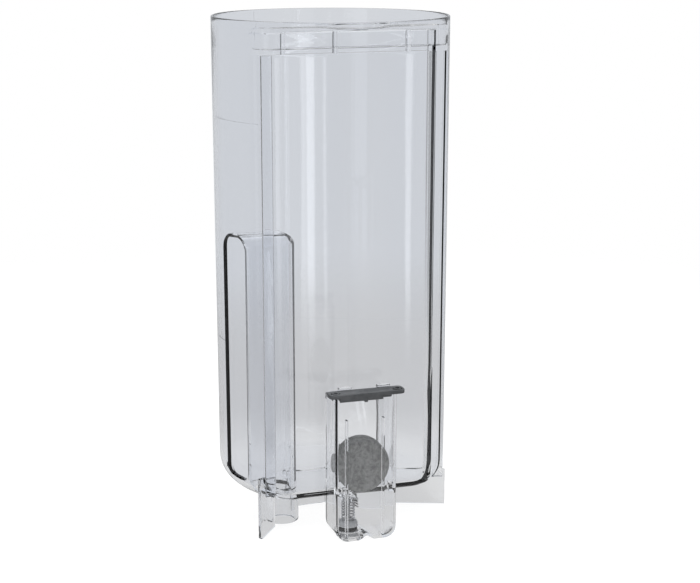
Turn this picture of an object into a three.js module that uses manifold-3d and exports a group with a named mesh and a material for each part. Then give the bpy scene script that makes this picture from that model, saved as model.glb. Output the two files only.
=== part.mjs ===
// Clear water tank for a beverage machine: a round, open-topped vessel with a flat front panel, a float chamber and
// outlet sump in front of it, and a blind pocket inside. Units are millimetres, +Z up. The origin lies on the
// vessel's axis, on the plane the tank stands on; the flat panel faces -Y.
import * as THREE from 'three';
import { mergeVertices } from 'three/addons/utils/BufferGeometryUtils.js';
import Module from 'manifold-3d';

const wasm = await Module();
wasm.setup();

// Driving dimensions
const GAP = 0.3; // between pieces that touch
const OVERCUT = 1; // how far a cutter runs past the face it cuts

const VESSEL = {
  rimRadius: 60, baseRadius: 59.3, height: 260, wall: 2.3, floorZ: 18, baseRound: 14, facets: 72,
};
const PANEL = { y: -34.5, ledgeZ: 244.4 }; // lower flat of the front, up to a ledge
const BAND = { y: -41, right: 39.6, lipZ: 254.5, lipRise: 0.12, gussets: [-36.8, -10.9, 26.2, 37.3], gussetWidth: 1.6 };
const STRIP = { tipX: 49.4, rootX: 41, forward: 2.6, thick: 2.5 }; // guide strips down both edges of the panel
const FIN = { rise: 6 }; // the left strip runs on to the standing plane, with a cut corner
const POCKET = { left: -70, right: -25.5, front: -27, back: -7, top: 154.5, wall: 2, corner: 5.5, arch: 8, mouthZ: 28 };
const SOCKET = { x: -32, y: -15, radius: 8.75, wall: 1.8, bottom: 1.5 };
const FOOT = { thick: 2, points: [[-17, 4.6], [-1.4, 5.7], [58.2, -15.9]], rearX: 14, rearY: 44 };
const CHAMBER = {
  left: -14, right: 18, front: -53.5, top: 75.7, roofZ: 74, wall: 1.8, corner: 3, bottomCorner: 7, veeDepth: 1.6,
  veeHalf: 3, mouthBack: -46.9, guideRibs: [-8, 11.2], ribTop: 63.5, ribDepth: 2.2, ribWidth: 1,
};
const WINDOW = { left: -10, right: 14, bottom: 22.5, top: 70 };
const CAP = {
  left: -17.5, right: 22, front: -55.2, back: -46.8, thick: 2, corner: 4.1, tabLeft: -12.5, tabRight: 10.1, tabDrop: 1.9,
  holeRadius: 1.2, holeInset: 3.6, nubX: 1.2,
};
const HOOK = { centres: [-7.5, 12.7], width: 6.8, thick: 1, nose: 1.2, height: 79.4 };
const FLOAT = { radius: 13.75, thick: 9, x: 2, y: -43.7, z: 37.5, wall: 1.5, seam: GAP };
const MAGNET = { radius: 5, thick: 3 };
const VALVE = { x: -4.5, y: -43.5, stroke: 3 };
const SEAT = { radius: 5, bore: 2.6, counterbore: 3.8, height: 3.2, step: 1.9 };
const RING = { outer: 3.5, inner: 2.3, bottom: 0.3, top: 1.6 };
const SEAL = { outer: 4.5, inner: 1.9, bottom: 3.5, top: 5 };
const POPPET = { nose: 1.6, noseBottom: 0.8, head: 4.7, headBottom: 5.3, headTop: 8.7, stem: 1.1, stemTop: 21.9 };
const SPRING = { coil: 3.1, wire: 0.36, bottom: 9.4, top: 18.9, turns: 6.5, stepsPerTurn: 12, sides: 6 };
const GUIDE = { halfWidth: 3.4, bottom: 19.6, top: 21.4, bore: 1.45 };
const STOP = { width: 2.6, top: 28.4 }; // shelves that carry the float when the tank is empty

const floorTop = VESSEL.floorZ + VESSEL.wall;

// Geometry to solid and back
function toSolid(geometry) {
  const bare = geometry.clone();
  bare.deleteAttribute('normal');
  bare.deleteAttribute('uv');
  const merged = mergeVertices(bare, 1e-4);
  const triVerts = Uint32Array.from(merged.index.array);
  const vertProperties = Float32Array.from(merged.attributes.position.array);
  if (signedVolume(vertProperties, triVerts) < 0) {
    for (let i = 0; i < triVerts.length; i += 3) {
      [triVerts[i + 1], triVerts[i + 2]] = [triVerts[i + 2], triVerts[i + 1]];
    }
  }
  return new wasm.Manifold(new wasm.Mesh({ numProp: 3, vertProperties, triVerts }));
}

function signedVolume(positions, triangles) {
  const [a, b, c] = [new THREE.Vector3(), new THREE.Vector3(), new THREE.Vector3()];
  let volume = 0;
  for (let i = 0; i < triangles.length; i += 3) {
    a.fromArray(positions, 3 * triangles[i]);
    b.fromArray(positions, 3 * triangles[i + 1]);
    c.fromArray(positions, 3 * triangles[i + 2]);
    volume += a.dot(b.cross(c)) / 6;
  }
  return volume;
}

function toGeometry(solid) {
  const { vertProperties, triVerts } = solid.getMesh();
  const geometry = new THREE.BufferGeometry();
  geometry.setAttribute('position', new THREE.BufferAttribute(vertProperties, 3));
  geometry.setIndex(new THREE.BufferAttribute(triVerts, 1));
  geometry.computeVertexNormals();
  return geometry;
}

// Basic solids
function revolve(profile, facets = VESSEL.facets) {
  const points = profile.map(([radius, z]) => new THREE.Vector2(radius, z));
  const geometry = new THREE.LatheGeometry([...points, points[0]], facets);
  return toSolid(geometry.rotateX(Math.PI / 2));
}

function box([x0, x1], [y0, y1], [z0, z1]) {
  const geometry = new THREE.BoxGeometry(x1 - x0, y1 - y0, z1 - z0);
  return toSolid(geometry.translate((x0 + x1) / 2, (y0 + y1) / 2, (z0 + z1) / 2));
}

function rod(x, y, radius, [z0, z1], facets = 32) {
  const geometry = new THREE.CylinderGeometry(radius, radius, z1 - z0, facets);
  return toSolid(geometry.rotateX(Math.PI / 2).translate(x, y, (z0 + z1) / 2));
}

// A plan outline in X and Y, raised from z0 to z1
function raise(shape, [z0, z1], curveSegments = 5) {
  const geometry = new THREE.ExtrudeGeometry(shape, { depth: z1 - z0, bevelEnabled: false, curveSegments });
  return toSolid(geometry.translate(0, 0, z0));
}

// A side outline in Y and Z, swept from x0 to x1
function sweepAcross(points, [x0, x1]) {
  const shape = new THREE.Shape(points.map(([y, z]) => new THREE.Vector2(y, z)));
  const geometry = new THREE.ExtrudeGeometry(shape, { depth: x1 - x0, bevelEnabled: false });
  const axes = new THREE.Matrix4().makeBasis(
    new THREE.Vector3(0, 1, 0), new THREE.Vector3(0, 0, 1), new THREE.Vector3(1, 0, 0));
  return toSolid(geometry.applyMatrix4(axes).translate(x0, 0, 0));
}

// A front outline in X and Z, swept from y0 to y1
function sweepBack(shape, [y0, y1], curveSegments = 5) {
  const geometry = new THREE.ExtrudeGeometry(shape, { depth: y1 - y0, bevelEnabled: false, curveSegments });
  return toSolid(geometry.rotateX(Math.PI / 2).translate(0, y1, 0));
}

function roundedRectangle([x0, x1], [y0, y1], radius) {
  const shape = new THREE.Shape();
  shape.moveTo(x0 + radius, y0);
  shape.lineTo(x1 - radius, y0);
  shape.absarc(x1 - radius, y0 + radius, radius, -Math.PI / 2, 0);
  shape.lineTo(x1, y1 - radius);
  shape.absarc(x1 - radius, y1 - radius, radius, 0, Math.PI / 2);
  shape.lineTo(x0 + radius, y1);
  shape.absarc(x0 + radius, y1 - radius, radius, Math.PI / 2, Math.PI);
  shape.lineTo(x0, y0 + radius);
  shape.absarc(x0 + radius, y0 + radius, radius, Math.PI, 1.5 * Math.PI);
  return shape;
}

const join = (...solids) => solids.reduce((whole, solid) => whole.add(solid));
const cut = (solid, ...tools) => tools.reduce((rest, tool) => rest.subtract(tool), solid);

// Vessel
function vesselBody(inset, top) {
  const radius = VESSEL.baseRadius - inset;
  const round = VESSEL.baseRound - inset;
  const bottom = VESSEL.floorZ + inset;
  const profile = [[0, bottom]];
  const steps = 6;
  for (let i = 0; i <= steps; i += 1) {
    const angle = (i / steps) * (Math.PI / 2);
    profile.push([radius - round + round * Math.sin(angle), bottom + round - round * Math.cos(angle)]);
  }
  profile.push([VESSEL.rimRadius - inset, VESSEL.height], [VESSEL.rimRadius - inset, top], [0, top]);
  return revolve(profile.filter(([r, z], i) => i === 0 || r !== profile[i - 1][0] || z !== profile[i - 1][1]));
}

// What the front of a vessel grown inwards by inset leaves out: the lower flat and the band under the lip
function frontRecess(inset) {
  const far = -80;
  const panelY = PANEL.y + inset;
  const bandY = BAND.y + inset;
  const ledgeZ = PANEL.ledgeZ + inset;
  const lipAt = (y) => BAND.lipZ + inset + BAND.lipRise * (BAND.y - y);
  const lower = sweepAcross([[far, -5], [panelY, -5], [panelY, ledgeZ], [far, ledgeZ]], [far, -far]);
  const band = sweepAcross(
    [[far, ledgeZ - OVERCUT], [bandY, ledgeZ - OVERCUT], [bandY, lipAt(bandY)], [far, lipAt(far)]],
    [far, BAND.right + inset]);
  return join(lower, band);
}

function gussets() {
  const { y, gussetWidth: width } = BAND;
  const outline = [[y - 4, PANEL.ledgeZ + 8], [y + 0.5, PANEL.ledgeZ - 1], [y + 0.5, BAND.lipZ + 1], [y - 4, BAND.lipZ + 1.4]];
  return BAND.gussets.map((x) => sweepAcross(outline, [x - width / 2, x + width / 2]));
}

function guideStrip(side, [z0, z1]) {
  const { tipX, rootX, forward, thick } = STRIP;
  const outline = [
    [side * rootX, PANEL.y - 0.1], [side * tipX, PANEL.y - forward],
    [side * tipX, PANEL.y - forward + thick], [side * rootX, PANEL.y + thick * 0.8],
  ];
  return raise(new THREE.Shape(outline.map(([x, y]) => new THREE.Vector2(x, y))), [z0, z1]);
}

function fin() {
  const { tipX, rootX } = STRIP;
  const corner = new THREE.Shape([
    new THREE.Vector2(-tipX - OVERCUT, 0), new THREE.Vector2(-tipX + 1.5, 0), new THREE.Vector2(-rootX, FIN.rise),
    new THREE.Vector2(-rootX, VESSEL.floorZ + VESSEL.baseRound), new THREE.Vector2(-tipX - OVERCUT, VESSEL.floorZ + VESSEL.baseRound),
  ]);
  return guideStrip(-1, [0, VESSEL.floorZ + VESSEL.baseRound]).intersect(sweepBack(corner, [PANEL.y - 10, PANEL.y + 10]));
}

function footPlate() {
  const plates = FOOT.points.slice(1).map(([x1, y1], i) => {
    const [x0, y0] = FOOT.points[i];
    const length = Math.hypot(x1 - x0, y1 - y0);
    const plate = new THREE.BoxGeometry(length + FOOT.thick, FOOT.thick, floorTop - 1);
    plate.rotateZ(Math.atan2(y1 - y0, x1 - x0));
    return toSolid(plate.translate((x0 + x1) / 2, (y0 + y1) / 2, (floorTop - 1) / 2));
  });
  const startY = -0.36 * FOOT.rearX + 5.2;
  const rear = box([FOOT.rearX - FOOT.thick / 2, FOOT.rearX + FOOT.thick / 2], [startY, FOOT.rearY], [0, floorTop - 1]);
  return join(...plates, rear).intersect(revolve([[0, -1], [VESSEL.baseRadius, -1], [VESSEL.baseRadius, 40], [0, 40]]));
}

// The pocket's side outline in Y and Z: an arch that stands on the given height
function archOutline(inset, bottom) {
  const radius = POCKET.arch - inset;
  const [y0, y1, top] = [POCKET.front + inset, POCKET.back - inset, POCKET.top - inset];
  const quarter = [0, 1, 2, 3, 4].map((i) => (i * Math.PI) / 8);
  return [
    [y0, bottom], [y1, bottom],
    ...quarter.map((t) => [y1 - radius + radius * Math.cos(t), top - radius + radius * Math.sin(t)]),
    ...quarter.map((t) => [y0 + radius - radius * Math.sin(t), top - radius + radius * Math.cos(t)]),
  ];
}

// Set into the round wall, which it opens through on the left above mouthZ
function pocket(inset) {
  const plan = roundedRectangle(
    [POCKET.left + inset, POCKET.right - inset], [POCKET.front + inset, POCKET.back - inset], POCKET.corner - inset);
  const front = roundedRectangle(
    [POCKET.left + inset, POCKET.right - inset], [0, POCKET.top - inset], POCKET.corner - inset);
  const bottom = inset > 0 ? VESSEL.floorZ + POCKET.wall : VESSEL.floorZ + 0.5;
  return raise(plan, [bottom, POCKET.top]).intersect(sweepBack(front, [POCKET.front - 1, POCKET.back + 1]))
    .intersect(sweepAcross(archOutline(inset, 0), [POCKET.left, POCKET.right + 1]));
}

function tankShell() {
  const cavity = cut(vesselBody(VESSEL.wall, VESSEL.height + OVERCUT), frontRecess(VESSEL.wall));
  const outer = cut(vesselBody(0, VESSEL.height), frontRecess(0));
  const pocketOuter = pocket(0).intersect(vesselBody(VESSEL.wall / 2, VESSEL.height));
  const pocketInner = pocket(POCKET.wall).intersect(vesselBody(VESSEL.wall, VESSEL.height));
  const { x, y, radius, wall, bottom } = SOCKET;
  const underfloor = join(rod(x, y, radius, [bottom, floorTop]), fin(), footPlate());
  const strips = [-1, 1].map((side) => guideStrip(side, [VESSEL.floorZ + 4, PANEL.ledgeZ - 0.5])
    .intersect(vesselBody(-2, VESSEL.height)));
  const added = join(cut(outer, cavity), pocketOuter, underfloor, ...strips, ...gussets());
  const windowCutter = box([WINDOW.left, WINDOW.right], [PANEL.y - 5, PANEL.y + 5], [WINDOW.bottom, WINDOW.top]);
  const socketBore = rod(x, y, radius - wall, [bottom - OVERCUT, floorTop + 5]);
  const pocketMouth = sweepAcross(archOutline(POCKET.wall, POCKET.mouthZ), [POCKET.left, POCKET.right - 15]);
  return cut(added, pocketInner, pocketMouth, socketBore, windowCutter);
}

// Float chamber and sump
function chamberOutline(inset) {
  const { left, right, bottomCorner, top, veeDepth, veeHalf } = CHAMBER;
  const [x0, x1, z0] = [left + inset, right - inset, inset];
  const radius = bottomCorner - inset;
  const middle = (left + right) / 2;
  const shape = new THREE.Shape();
  shape.moveTo(x0 + radius, z0);
  shape.lineTo(middle - veeHalf, z0);
  shape.lineTo(middle, z0 + veeDepth);
  shape.lineTo(middle + veeHalf, z0);
  shape.lineTo(x1 - radius, z0);
  shape.absarc(x1 - radius, z0 + radius, radius, -Math.PI / 2, 0);
  shape.lineTo(x1, top + (inset > 0 ? OVERCUT : 0));
  shape.lineTo(x0, top + (inset > 0 ? OVERCUT : 0));
  shape.lineTo(x0, z0 + radius);
  shape.absarc(x0 + radius, z0 + radius, radius, Math.PI, 1.5 * Math.PI);
  return shape;
}

function chamberBlock(inset, back) {
  const { left, right, front, corner, top } = CHAMBER;
  const plan = roundedRectangle([left + inset, right - inset], [front + inset, back + 20], corner - inset);
  const tall = raise(plan, [-5, top + 5]);
  return sweepBack(chamberOutline(inset), [front + inset - 0.01, back]).intersect(tall);
}

function hooks() {
  const { width, thick, nose, height } = HOOK;
  return HOOK.centres.map((x) => {
    const span = [x - width / 2, x + width / 2];
    const post = box(span, [CAP.back + GAP, CAP.back + GAP + thick], [CHAMBER.roofZ - 1, height]);
    const top = box(span, [CAP.back - nose, CAP.back + GAP + thick], [CHAMBER.top + 2 * GAP + CAP.thick, height]);
    return join(post, top);
  });
}

function floatChamber() {
  const { left, right, front, wall, top, roofZ, mouthBack, ribDepth, ribWidth, ribTop } = CHAMBER;
  const back = PANEL.y - GAP;
  const hollow = chamberBlock(wall, back - wall);
  const mouthRoof = box([left - 1, right + 1], [mouthBack, back + 1], [roofZ - wall, top + 5]);
  const windowCutter = box([WINDOW.left, WINDOW.right], [back - 3, back + 3], [WINDOW.bottom, WINDOW.top]);
  const overRoof = box([left - 1, right + 1], [mouthBack, back + 1], [roofZ, top + 1]);
  const shell = cut(chamberBlock(0, back), cut(hollow, mouthRoof), overRoof, windowCutter);
  const ribs = CHAMBER.guideRibs.map((x) => box(
    [x - ribWidth / 2, x + ribWidth / 2], [front + wall / 2, front + wall + ribDepth], [wall + 1, ribTop]));
  const shelves = [[left + wall / 2, left + wall + STOP.width], [right - wall - STOP.width, right - wall / 2]]
    .map((span) => box(span, [front + wall / 2, front + wall + 4.2], [STOP.top - 4, STOP.top]));
  const bore = rod(VALVE.x, VALVE.y, SEAT.radius + GAP, [-OVERCUT, wall + 2]);
  const collar = rod(VALVE.x, VALVE.y, SEAT.radius + GAP + 1.2, [0.2, SEAT.height]);
  return cut(join(shell, ...ribs, ...shelves, ...hooks(), collar), bore);
}

function chamberCap() {
  const { left, right, front, back, thick, corner, tabLeft, tabRight, tabDrop, holeRadius, holeInset, nubX } = CAP;
  const bottom = CHAMBER.top + GAP;
  const plate = raise(roundedRectangle([left, right], [front, back], corner), [bottom, bottom + thick]);
  const tab = box([tabLeft, tabRight], [front, CHAMBER.front - GAP], [bottom - tabDrop, bottom + thick / 2]);
  const nub = box([nubX - 0.8, nubX + 0.8], [front, CHAMBER.front - GAP], [bottom - tabDrop - 0.7, bottom]);
  const inset = CHAMBER.wall + GAP;
  const plug = raise(
    roundedRectangle([CHAMBER.left + inset, CHAMBER.right - inset], [CHAMBER.front + inset, CHAMBER.mouthBack - GAP], 1),
    [bottom - 2.2, bottom + thick / 2]);
  const plugCore = box(
    [CHAMBER.left + inset + 1.4, CHAMBER.right - inset - 1.4],
    [CHAMBER.front + inset + 1.4, CHAMBER.mouthBack - GAP - 1.4], [bottom - 3, bottom]);
  const holes = [left + holeInset, right - holeInset]
    .map((x) => rod(x, (front + back) / 2 - 1, holeRadius, [bottom - 1, bottom + thick + 1], 16));
  return cut(join(plate, tab, nub, cut(plug, plugCore)), ...holes);
}

// Float: two welded cups round a magnet, lying on its side so that its flat faces look forwards and backwards
function floatCup(facing) {
  const { radius, thick, wall, seam } = FLOAT;
  const mouth = seam / 2;
  const face = thick / 2;
  const edge = 0.8;
  const cup = [
    [0, face], [radius - edge, face], [radius, face - edge], [radius, mouth], [radius - wall, mouth],
    [radius - wall, face - wall], [0, face - wall],
  ];
  const geometry = new THREE.LatheGeometry([...cup, cup[0]].map(([r, h]) => new THREE.Vector2(r, h)), 48);
  if (facing < 0) {
    geometry.rotateX(Math.PI);
  }
  return toSolid(geometry.translate(FLOAT.x, FLOAT.y, FLOAT.z));
}

function floatMagnet() {
  const geometry = new THREE.CylinderGeometry(MAGNET.radius, MAGNET.radius, MAGNET.thick, 24);
  return toSolid(geometry.translate(FLOAT.x, FLOAT.y, FLOAT.z));
}

// Outlet valve: a sprung poppet held down on a seat in the sump floor
function atValve(solid) {
  return solid.translate([VALVE.x, VALVE.y, 0]);
}

function valveSeat() {
  const { radius, bore, counterbore, height, step } = SEAT;
  return atValve(revolve([[bore, step], [counterbore, step], [counterbore, 0], [radius, 0], [radius, height], [bore, height]], 32));
}

function ring({ outer, inner, bottom, top }) {
  const edge = (top - bottom) / 4;
  return atValve(revolve([
    [inner + edge, bottom], [outer - edge, bottom], [outer, bottom + edge], [outer, top - edge],
    [outer - edge, top], [inner + edge, top], [inner, top - edge], [inner, bottom + edge],
  ], 32));
}

function valvePoppet() {
  const { nose, noseBottom, head, headBottom, headTop, stem, stemTop } = POPPET;
  return atValve(revolve([
    [0, noseBottom], [nose, noseBottom], [nose, headBottom], [head, headBottom], [head, headTop - 1],
    [head - 1, headTop], [stem, headTop], [stem, stemTop], [0, stemTop],
  ], 32));
}

class Helix extends THREE.Curve {
  getPoint(t, target = new THREE.Vector3()) {
    const angle = t * SPRING.turns * 2 * Math.PI;
    const z = THREE.MathUtils.lerp(SPRING.bottom, SPRING.top, t);
    return target.set(SPRING.coil * Math.cos(angle), SPRING.coil * Math.sin(angle), z);
  }
}

function valveSpring() {
  const { wire, sides, turns, stepsPerTurn } = SPRING;
  const section = new THREE.Shape(Array.from({ length: sides }, (_, i) => {
    const angle = (i / sides) * 2 * Math.PI;
    return new THREE.Vector2(wire * Math.cos(angle), wire * Math.sin(angle));
  }));
  const geometry = new THREE.ExtrudeGeometry(section, { steps: turns * stepsPerTurn, extrudePath: new Helix() });
  return atValve(toSolid(geometry));
}

function valveGuide() {
  const { halfWidth, bottom, top, bore } = GUIDE;
  const back = PANEL.y - GAP - CHAMBER.wall - GAP;
  const bar = box([VALVE.x - halfWidth, VALVE.x + halfWidth], [CHAMBER.front + CHAMBER.wall + CHAMBER.ribDepth + GAP, back],
    [bottom, top]);
  return cut(bar, rod(VALVE.x, VALVE.y, bore, [bottom - 1, top + 1], 24));
}

// Materials
const FINISHES = {
  clear: { color: 0xc9ced6, roughness: 0.08, metalness: 0, transparent: true, opacity: 0.35 },
  charcoal: { color: 0x55585a, roughness: 0.5, metalness: 0 },
  floatGrey: { color: 0x7f807e, roughness: 0.6, metalness: 0 },
  magnet: { color: 0x303236, roughness: 0.4, metalness: 0.8 },
  valveGrey: { color: 0xb9bcc0, roughness: 0.4, metalness: 0 },
  rubber: { color: 0x222426, roughness: 0.8, metalness: 0 },
  steel: { color: 0x8d9094, roughness: 0.3, metalness: 1 },
};

const PIECES = [
  ['tank_shell', tankShell, 'clear'],
  ['float_chamber', floatChamber, 'clear'],
  ['chamber_cap', chamberCap, 'charcoal'],
  ['float_front_shell', () => floatCup(-1), 'floatGrey'],
  ['float_rear_shell', () => floatCup(1), 'floatGrey'],
  ['float_magnet', floatMagnet, 'magnet'],
  ['valve_seat', valveSeat, 'valveGrey'],
  ['outlet_o_ring', () => ring(RING), 'rubber'],
  ['poppet_seal', () => ring(SEAL), 'rubber'],
  ['valve_poppet', valvePoppet, 'valveGrey'],
  ['valve_spring', valveSpring, 'steel'],
  ['valve_guide', valveGuide, 'clear'],
];

const tank = new THREE.Group();
for (const [name, make, finish] of PIECES) {
  const mesh = new THREE.Mesh(toGeometry(make()), new THREE.MeshStandardMaterial(FINISHES[finish]));
  mesh.name = name;
  tank.add(mesh);
}

export default tank;
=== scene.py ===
"""Looks of a clear water tank for a beverage machine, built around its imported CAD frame.

Sizes in the classes are millimetres in the frame's own axes: the vessel's axis is Z, the flat panel faces
-Y and the tank stands on Z = 0. Meshes are written in metres.
"""
import logging
import math
from collections.abc import Callable, Iterable, Sequence
from dataclasses import dataclass, field
from enum import Enum

import bmesh
import bpy
from mathutils import Matrix, Vector


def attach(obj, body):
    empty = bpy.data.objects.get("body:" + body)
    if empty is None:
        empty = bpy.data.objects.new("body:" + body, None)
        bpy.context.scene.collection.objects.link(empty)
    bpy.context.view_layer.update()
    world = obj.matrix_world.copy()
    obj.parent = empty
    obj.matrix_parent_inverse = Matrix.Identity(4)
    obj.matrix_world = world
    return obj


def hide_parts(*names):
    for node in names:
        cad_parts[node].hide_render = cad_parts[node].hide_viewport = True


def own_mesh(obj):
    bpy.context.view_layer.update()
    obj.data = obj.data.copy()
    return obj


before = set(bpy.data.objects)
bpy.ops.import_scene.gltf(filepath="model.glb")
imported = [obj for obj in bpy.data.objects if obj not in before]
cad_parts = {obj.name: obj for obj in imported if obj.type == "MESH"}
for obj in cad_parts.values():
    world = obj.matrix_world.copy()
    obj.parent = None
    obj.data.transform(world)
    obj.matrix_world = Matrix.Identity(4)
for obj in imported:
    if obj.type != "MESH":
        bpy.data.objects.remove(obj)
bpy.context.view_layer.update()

log = logging.getLogger("water_tank")

MM = 0.001
Point = tuple[float, float, float]
Plan = list[tuple[float, float]]
Span = tuple[float, float]
Colour = tuple[float, float, float]
Solid = bpy.types.Object


class Join(Enum):
    """How one closed solid meets another."""

    ADD = "UNION"
    CUT = "DIFFERENCE"
    KEEP = "INTERSECT"


# --------------------------------------------------------------------------------------------------
# Mesh tools
# --------------------------------------------------------------------------------------------------


def new_object(name: str, points: Iterable[Sequence[float]], faces: Iterable[Sequence[int]]) -> Solid:
    """Makes a mesh object at the origin.

    Args:
        name: The object's name.
        points: Corners in millimetres.
        faces: Corner numbers of each face.

    Returns:
        The object, linked to the scene.
    """
    mesh = bpy.data.meshes.new(name)
    mesh.from_pydata([Vector(p) * MM for p in points], [], [tuple(f) for f in faces])
    obj = bpy.data.objects.new(name, mesh)
    bpy.context.collection.objects.link(obj)
    outward(obj)
    return obj


def outward(obj: Solid) -> None:
    """Turns every face of a closed mesh outwards.

    Args:
        obj: The mesh object.
    """
    work = bmesh.new()
    work.from_mesh(obj.data)
    bmesh.ops.remove_doubles(work, verts=work.verts, dist=1e-7)
    bmesh.ops.recalc_face_normals(work, faces=work.faces)
    work.to_mesh(obj.data)
    work.free()


def apply_modifiers(obj: Solid) -> Solid:
    """Bakes an object's modifiers into a plain mesh.

    Args:
        obj: The object.

    Returns:
        The same object, with its evaluated mesh and no modifiers.
    """
    graph = bpy.context.evaluated_depsgraph_get()
    mesh = bpy.data.meshes.new_from_object(obj.evaluated_get(graph))
    obj.modifiers.clear()
    old, obj.data = obj.data, mesh
    bpy.data.meshes.remove(old)
    return obj


def combine(base: Solid, tool: Solid, how: Join) -> Solid:
    """Joins, cuts or intersects two closed solids and removes the second.

    Args:
        base: The solid that stays.
        tool: The solid that is used up.
        how: The operation.

    Returns:
        The base.
    """
    modifier = base.modifiers.new("combine", "BOOLEAN")
    modifier.operation = how.value
    modifier.solver = "MANIFOLD"
    modifier.object = tool
    apply_modifiers(base)
    bpy.data.objects.remove(tool)
    return base


def soften(obj: Solid, width: float, segments: int = 2, angle: float = 40) -> Solid:
    """Rounds an object's sharp edges.

    Args:
        obj: The object.
        width: Width of the rounding in millimetres.
        segments: Faces across it.
        angle: Edges sharper than this many degrees are rounded.

    Returns:
        The object with the rounding in its mesh.
    """
    bevel = obj.modifiers.new("soften", "BEVEL")
    bevel.width = width * MM
    bevel.segments = segments
    bevel.limit_method = "ANGLE"
    bevel.angle_limit = math.radians(angle)
    bevel.use_clamp_overlap = True
    return apply_modifiers(obj)


def shade(obj: Solid, angle: float = 32) -> Solid:
    """Shades an object smooth, with edges sharper than the angle kept crisp.

    Args:
        obj: The object.
        angle: The limit in degrees.

    Returns:
        The object.
    """
    obj.data.shade_smooth()
    obj.data.set_sharp_from_angle(angle=math.radians(angle))
    return obj


def skin(name: str, rings: Sequence[Sequence[Point]], start: Point | None = None,
         end: Point | None = None) -> Solid:
    """Makes a closed solid from rings of equal length.

    Args:
        name: The object's name.
        rings: Closed rings of points, one after another along the solid.
        start: Pole that closes the first ring, or None for a flat face.
        end: Pole that closes the last ring, or None for a flat face.

    Returns:
        The solid.
    """
    count = len(rings[0])
    points = [p for ring in rings for p in ring]
    faces: list[tuple[int, ...]] = []
    for row in range(len(rings) - 1):
        for i in range(count):
            a, b = row * count + i, row * count + (i + 1) % count
            faces.append((a, b, b + count, a + count))
    last = (len(rings) - 1) * count
    for first_corner, pole, flip in ((0, start, True), (last, end, False)):
        ring = [first_corner + i for i in range(count)]
        if pole is None:
            faces.append(tuple(reversed(ring)) if flip else tuple(ring))
            continue
        points.append(pole)
        tip = len(points) - 1
        for i in range(count):
            pair = (ring[i], ring[(i + 1) % count])
            faces.append((pair[1], pair[0], tip) if flip else (pair[0], pair[1], tip))
    return new_object(name, points, faces)


def turned(name: str, profile: Sequence[tuple[float, float]], centre: Span = (0, 0), sides: int = 64,
           place: Matrix | None = None) -> Solid:
    """Turns a profile about a vertical axis.

    Args:
        name: The object's name.
        profile: Radius and height of each point, in order. A point at radius 0 closes an end, and a
            profile with none is a ring.
        centre: X and Y of the axis.
        sides: Faces around.
        place: Turns the finished points from the vertical axis into their place, in millimetres.

    Returns:
        The solid.
    """
    angles = [math.tau * i / sides for i in range(sides)]
    on_axis = [h for r, h in profile if r == 0]
    body = [(r, h) for r, h in profile if r > 0]
    rings = [[(r * math.cos(a) + centre[0], r * math.sin(a) + centre[1], h) for a in angles] for r, h in body]
    if on_axis:
        obj = skin(name, rings, (*centre, on_axis[0]), (*centre, on_axis[-1]))
    else:
        points = [p for ring in rings for p in ring]
        faces = []
        for row in range(len(body)):
            here, there = row * sides, (row + 1) % len(body) * sides
            faces += [(here + i, here + (i + 1) % sides, there + (i + 1) % sides, there + i)
                      for i in range(sides)]
        obj = new_object(name, points, faces)
    if place is not None:
        obj.data.transform(Matrix.Scale(MM, 4) @ place @ Matrix.Scale(1 / MM, 4))
        outward(obj)
    return obj


def rounded_plan(x: Span, y: Span, radius: float, steps: int = 8) -> Plan:
    """Outlines a rectangle with round corners.

    Args:
        x: Left and right.
        y: Front and back.
        radius: Corner radius.
        steps: Faces round each corner.

    Returns:
        The outline, anticlockwise from above.
    """
    centres = ((x[1] - radius, y[1] - radius, 0), (x[0] + radius, y[1] - radius, 1),
               (x[0] + radius, y[0] + radius, 2), (x[1] - radius, y[0] + radius, 3))
    outline: Plan = []
    for cx, cy, quarter in centres:
        for i in range(steps + 1):
            angle = math.pi / 2 * (quarter + i / steps)
            outline.append((cx + radius * math.cos(angle), cy + radius * math.sin(angle)))
    return outline


def rounded_block(name: str, x: Span, y: Span, z: Span, side: float, top: float = 0, bottom: float = 0,
                  steps: int = 8) -> Solid:
    """Makes a block with round vertical edges and, where asked, round top and bottom edges.

    Args:
        name: The object's name.
        x: Left and right.
        y: Front and back.
        z: Bottom and top.
        side: Radius of the vertical edges.
        top: Radius of the top edges, 0 for square.
        bottom: Radius of the bottom edges, 0 for square.
        steps: Faces round each radius.

    Returns:
        The block.
    """
    levels = [(0, z[0])] if not bottom else arc((bottom, z[0] + bottom), bottom, 270, 180, steps)
    levels += [(0, z[1])] if not top else arc((top, z[1] - top), top, 180, 90, steps)
    rings = []
    for inset, level in levels:
        plan = rounded_plan((x[0] + inset, x[1] - inset), (y[0] + inset, y[1] - inset),
                            max(side - inset, 0.05), steps)
        rings.append([(px, py, level) for px, py in plan])
    return skin(name, rings)


def prism(name: str, outline: Plan, z: Span) -> Solid:
    """Raises a plan outline between two heights.

    Args:
        name: The object's name.
        outline: X and Y of each corner.
        z: Bottom and top.

    Returns:
        The prism.
    """
    return skin(name, [[(px, py, level) for px, py in outline] for level in z])


def side_prism(name: str, outline: Plan, x: Span) -> Solid:
    """Sweeps a side outline from left to right.

    Args:
        name: The object's name.
        outline: Y and Z of each corner.
        x: Left and right.

    Returns:
        The prism.
    """
    return skin(name, [[(level, py, pz) for py, pz in outline] for level in x])


def plate(name: str, start: Vector, stop: Vector, half: float, z: Span) -> Solid:
    """Stands a flat plate on a line of the plan.

    Args:
        name: The object's name.
        start: X and Y of one end.
        stop: X and Y of the other.
        half: Half its thickness.
        z: Bottom and top.

    Returns:
        The plate.
    """
    along = (stop - start).normalized()
    across = Vector((-along.y, along.x)) * half
    return prism(name, [tuple(p) for p in (start + across, start - across, stop - across, stop + across)], z)


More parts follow.
